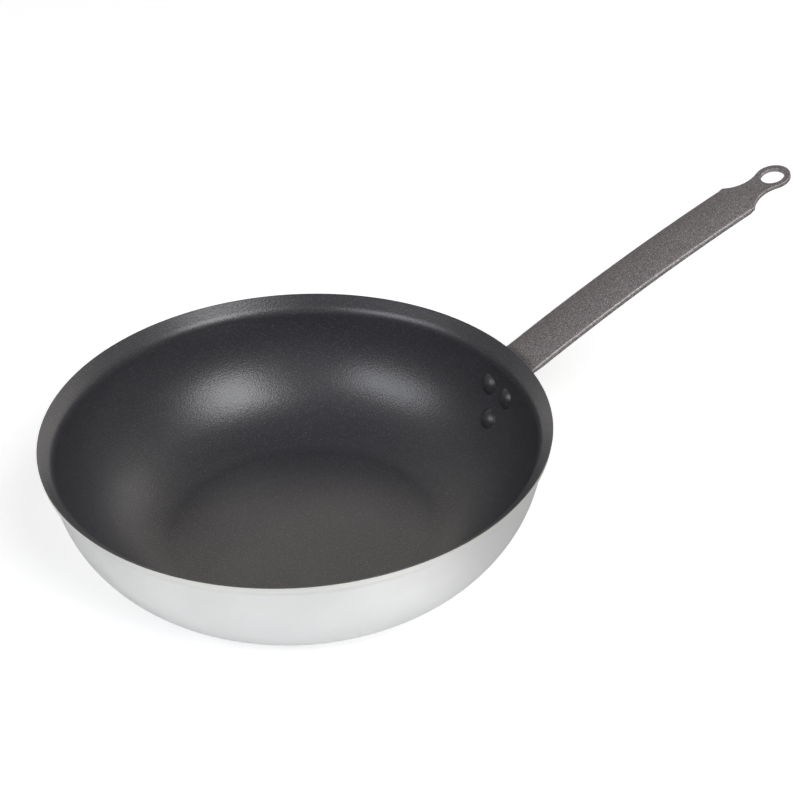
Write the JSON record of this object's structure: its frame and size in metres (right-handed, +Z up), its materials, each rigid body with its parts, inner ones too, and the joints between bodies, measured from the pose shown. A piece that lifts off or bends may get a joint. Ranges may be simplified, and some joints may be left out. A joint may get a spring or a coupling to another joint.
{
  "type": "saute pan",
  "caption": "Deep rounded saute pan of bare aluminium with a dark non-stick lining, a flared lip and a riveted, speckled grey strip handle that ends in a hanging eye.",
  "frame": {"origin": "centre of the flat base underside", "axes": "+Z up along the pan's axis, +X out along the handle, symmetric about the XZ plane"},
  "size_m": [0.4763, 0.28, 0.1459],
  "materials": {
    "bare_aluminium": "satin, fine turned lines",
    "nonstick_coat": "matt, finely grained non-stick coat",
    "speckled_epoxy": "fine speckled grey epoxy coat",
    "coated_rivet": "heads coated with the lining"
  },
  "bodies": {
    "root": {"pan_body": "bare_aluminium", "nonstick_lining": "nonstick_coat", "handle": "speckled_epoxy", "rivet_upper_left": "coated_rivet", "rivet_upper_right": "coated_rivet", "rivet_lower": "coated_rivet"}
  },
  "joints": []
}
